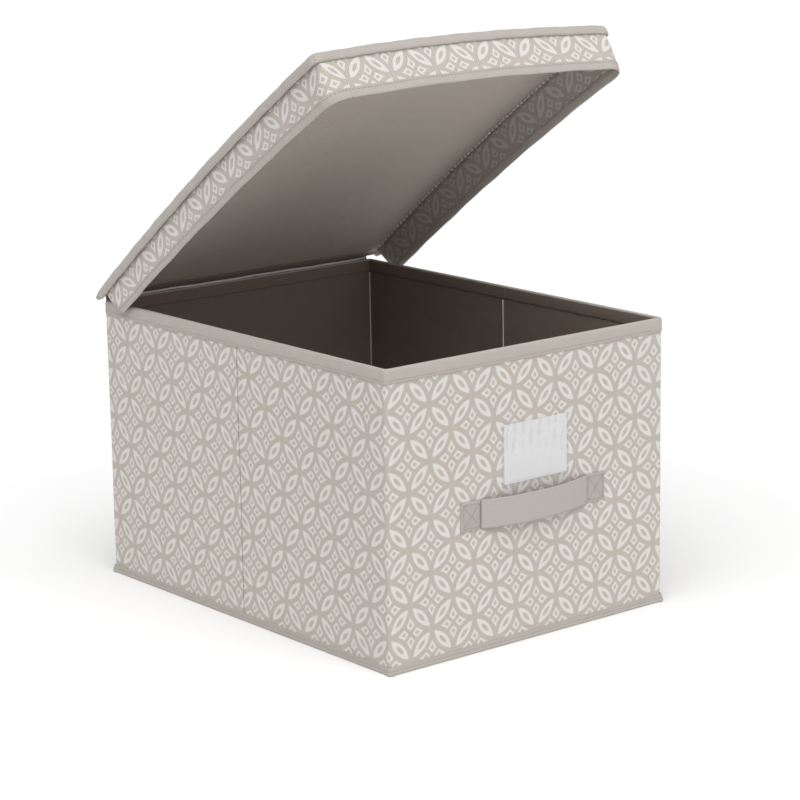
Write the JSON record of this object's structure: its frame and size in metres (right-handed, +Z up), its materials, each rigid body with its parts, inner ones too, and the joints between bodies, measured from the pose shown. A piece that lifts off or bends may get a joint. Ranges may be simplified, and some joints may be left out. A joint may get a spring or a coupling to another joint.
{
  "type": "fabric storage bin",
  "caption": "Collapsible fabric storage bin with stiffened walls that crease and fold, a hinged skirted lid, a webbing handle and a label pocket.",
  "frame": {"origin": "centre of the underside of the base, on the surface it stands on", "axes": "+Z up; the front wall, with the label and handle, faces -Y; the lid is hinged along the top of the back wall at +Y"},
  "size_m": [0.324, 0.4121, 0.5003],
  "materials": {
    "printed_fabric": "matte",
    "plain_binding": "matte",
    "lining_fabric": "matte",
    "greyboard": "matte",
    "webbing": "matte",
    "thread": "matte",
    "clear_vinyl": "gloss",
    "card": "matte"
  },
  "bodies": {
    "front_and_base": {"front_fabric": "printed_fabric", "front_board": "greyboard", "front_lining": "lining_fabric", "front_rim_binding": "plain_binding", "base_fabric": "plain_binding", "base_tape_front": "plain_binding", "base_tape_back": "plain_binding", "base_tape_left": "plain_binding", "base_tape_right": "plain_binding", "label_pocket": "clear_vinyl", "handle_end_left": "webbing", "handle_end_right": "webbing", "handle_stitching": "thread"},
    "left_front_panel": {"left_front_fabric": "printed_fabric", "left_front_board": "greyboard", "left_front_lining": "lining_fabric", "left_front_rim_binding": "plain_binding"},
    "left_rear_panel": {"left_rear_fabric": "printed_fabric", "left_rear_board": "greyboard", "left_rear_lining": "lining_fabric", "left_rear_rim_binding": "plain_binding"},
    "right_front_panel": {"right_front_fabric": "printed_fabric", "right_front_board": "greyboard", "right_front_lining": "lining_fabric", "right_front_rim_binding": "plain_binding"},
    "right_rear_panel": {"right_rear_fabric": "printed_fabric", "right_rear_board": "greyboard", "right_rear_lining": "lining_fabric", "right_rear_rim_binding": "plain_binding"},
    "back_wall": {"back_fabric": "printed_fabric", "back_board": "greyboard", "back_lining": "lining_fabric", "back_rim_binding": "plain_binding", "lid_hinge_strip": "plain_binding"},
    "lid": {"lid_fabric": "printed_fabric", "lid_board": "greyboard", "lid_lining": "lining_fabric", "lid_edge_front": "plain_binding", "lid_edge_left": "plain_binding", "lid_edge_right": "plain_binding", "lid_edge_rear": "plain_binding", "lid_skirt_front": "printed_fabric", "lid_skirt_left": "printed_fabric", "lid_skirt_right": "printed_fabric", "lid_hem_front": "plain_binding", "lid_hem_left": "plain_binding", "lid_hem_right": "plain_binding"},
    "base_board": {"base_board_core": "greyboard", "base_board_cover": "lining_fabric"},
    "card": {"label_card": "card"},
    "handle": {"handle_strap": "webbing"}
  },
  "joints": [
    {"name": "side_fold", "type": "hinge", "parent": "front_and_base", "child": "left_front_panel", "pos_m": [-0.1522, -0.194, 0.1], "axis": [0, 0, -1], "range_deg": [0, 89], "deforming": ["base_fabric", "base_tape_back", "base_tape_left", "base_tape_right", "lid_skirt_left", "lid_skirt_right", "lid_hem_left", "lid_hem_right"]},
    {"name": "left_crease", "type": "hinge", "parent": "left_front_panel", "child": "left_rear_panel", "pos_m": [-0.1537, 0, 0.1], "axis": [0, 0, 1], "range_deg": [0, 162]},
    {"name": "left_back_corner", "type": "hinge", "parent": "left_rear_panel", "child": "back_wall", "pos_m": [-0.1522, 0.194, 0.1], "axis": [0, 0, -1], "range_deg": [0, 73]},
    {"name": "right_front_corner", "type": "hinge", "parent": "front_and_base", "child": "right_front_panel", "pos_m": [0.1522, -0.194, 0.1], "axis": [0, 0, 1], "range_deg": [0, 73]},
    {"name": "right_crease", "type": "hinge", "parent": "right_front_panel", "child": "right_rear_panel", "pos_m": [0.1537, 0, 0.1], "axis": [0, 0, -1], "range_deg": [0, 162]},
    {"name": "lid_hinge", "type": "hinge", "parent": "back_wall", "child": "lid", "pos_m": [0, 0.202, 0.2548], "axis": [-1, 0, 0], "range_deg": [-36, 174], "deforming": ["lid_hinge_strip"]},
    {"name": "base_board_lift", "type": "hinge", "parent": "front_and_base", "child": "base_board", "pos_m": [0, 0.195, 0.001], "axis": [-1, 0, 0], "range_deg": [0, 36.5]},
    {"name": "card_slide", "type": "slide", "parent": "front_and_base", "child": "card", "axis": [0, 0, 1], "range_m": [0, 0.045]},
    {"name": "handle_pull", "type": "slide", "parent": "front_and_base", "child": "handle", "axis": [0, -1, 0], "range_m": [0, 0.015]}
  ],
  "couplings": [
    {"joint": "left_crease", "follows": "side_fold", "ratio": 1.82},
    {"joint": "left_back_corner", "follows": "side_fold", "ratio": 0.82},
    {"joint": "right_front_corner", "follows": "side_fold", "ratio": 0.82},
    {"joint": "right_crease", "follows": "side_fold", "ratio": 1.82}
  ]
}
